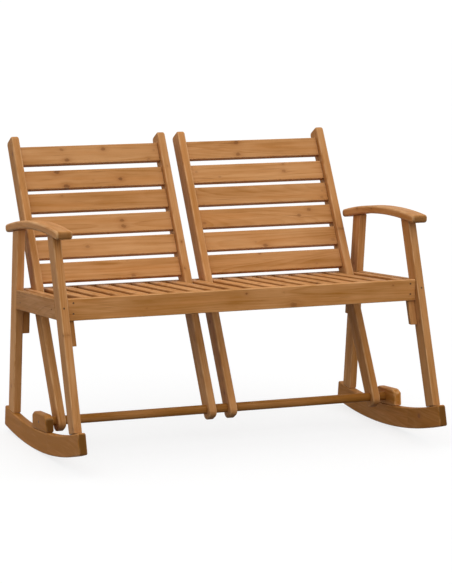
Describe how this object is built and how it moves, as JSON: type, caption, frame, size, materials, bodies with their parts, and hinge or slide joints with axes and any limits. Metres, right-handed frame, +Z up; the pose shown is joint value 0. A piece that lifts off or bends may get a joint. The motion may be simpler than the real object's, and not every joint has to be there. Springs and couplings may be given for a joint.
{
  "type": "rocking bench",
  "caption": "Slatted wooden rocking bench with arched armrests and separate backs that rest on a rear ledger and swing forward on a cross rod.",
  "frame": {"origin": "on the floor, under the middle of the bench's bounding box", "axes": "+X to the right seen from the front, +Y to the back, +Z up"},
  "size_m": [1.18, 0.8692, 0.9111],
  "materials": {
    "wood_frame": "satin stain on softwood",
    "wood_seat": "satin stain on softwood",
    "wood_back": "satin stain on softwood",
    "wood_rocker": "satin stain on softwood",
    "wood_rod": "satin stain on softwood",
    "steel": "dull zinc"
  },
  "bodies": {
    "frame": {"armrest_left": "wood_frame", "armrest_right": "wood_frame", "front_cleat_left": "wood_frame", "front_cleat_right": "wood_frame", "front_ledger": "wood_frame", "front_leg_left": "wood_frame", "front_leg_right": "wood_frame", "front_rail": "wood_frame", "rear_cleat_left": "wood_frame", "rear_cleat_right": "wood_frame", "rear_ledger": "wood_frame", "rear_leg_left": "wood_frame", "rear_leg_right": "wood_frame", "rear_rail": "wood_frame", "rocker_left": "wood_rocker", "rocker_right": "wood_rocker", "rod": "wood_rod", "rod_block_left": "wood_rocker", "rod_block_right": "wood_rocker", "rod_screw_left": "steel", "rod_screw_right": "steel", "seat_edge_strip_left": "wood_seat", "seat_edge_strip_right": "wood_seat", "seat_strip_1_left": "wood_seat", "seat_strip_1_right": "wood_seat", "seat_strip_2_left": "wood_seat", "seat_strip_2_right": "wood_seat", "seat_strip_3_left": "wood_seat", "seat_strip_3_right": "wood_seat", "seat_strip_4_left": "wood_seat", "seat_strip_4_right": "wood_seat", "seat_strip_5_left": "wood_seat", "seat_strip_5_right": "wood_seat", "seat_strip_6_left": "wood_seat", "seat_strip_6_right": "wood_seat", "seat_strip_7_left": "wood_seat", "seat_strip_7_right": "wood_seat", "seat_strip_8_left": "wood_seat", "seat_strip_8_right": "wood_seat", "seat_strip_middle": "wood_seat", "side_ledger_left": "wood_frame", "side_ledger_right": "wood_frame", "side_rail_left": "wood_frame", "side_rail_right": "wood_frame"},
    "back_left": {"back_left_inner_stile": "wood_back", "back_left_outer_stile": "wood_back", "back_left_slat_1": "wood_back", "back_left_slat_2": "wood_back", "back_left_slat_3": "wood_back", "back_left_slat_4": "wood_back", "back_left_slat_5": "wood_back", "back_left_slat_6": "wood_back"},
    "back_right": {"back_right_inner_stile": "wood_back", "back_right_outer_stile": "wood_back", "back_right_slat_1": "wood_back", "back_right_slat_2": "wood_back", "back_right_slat_3": "wood_back", "back_right_slat_4": "wood_back", "back_right_slat_5": "wood_back", "back_right_slat_6": "wood_back"}
  },
  "joints": [
    {"name": "back_left_swing", "type": "hinge", "parent": "frame", "child": "back_left", "pos_m": [0, -0.03943, 0.0937], "axis": [1, 0, 0], "range_deg": [0, 50]},
    {"name": "back_right_swing", "type": "hinge", "parent": "frame", "child": "back_right", "pos_m": [0, -0.03943, 0.0937], "axis": [1, 0, 0], "range_deg": [0, 50]}
  ]
}
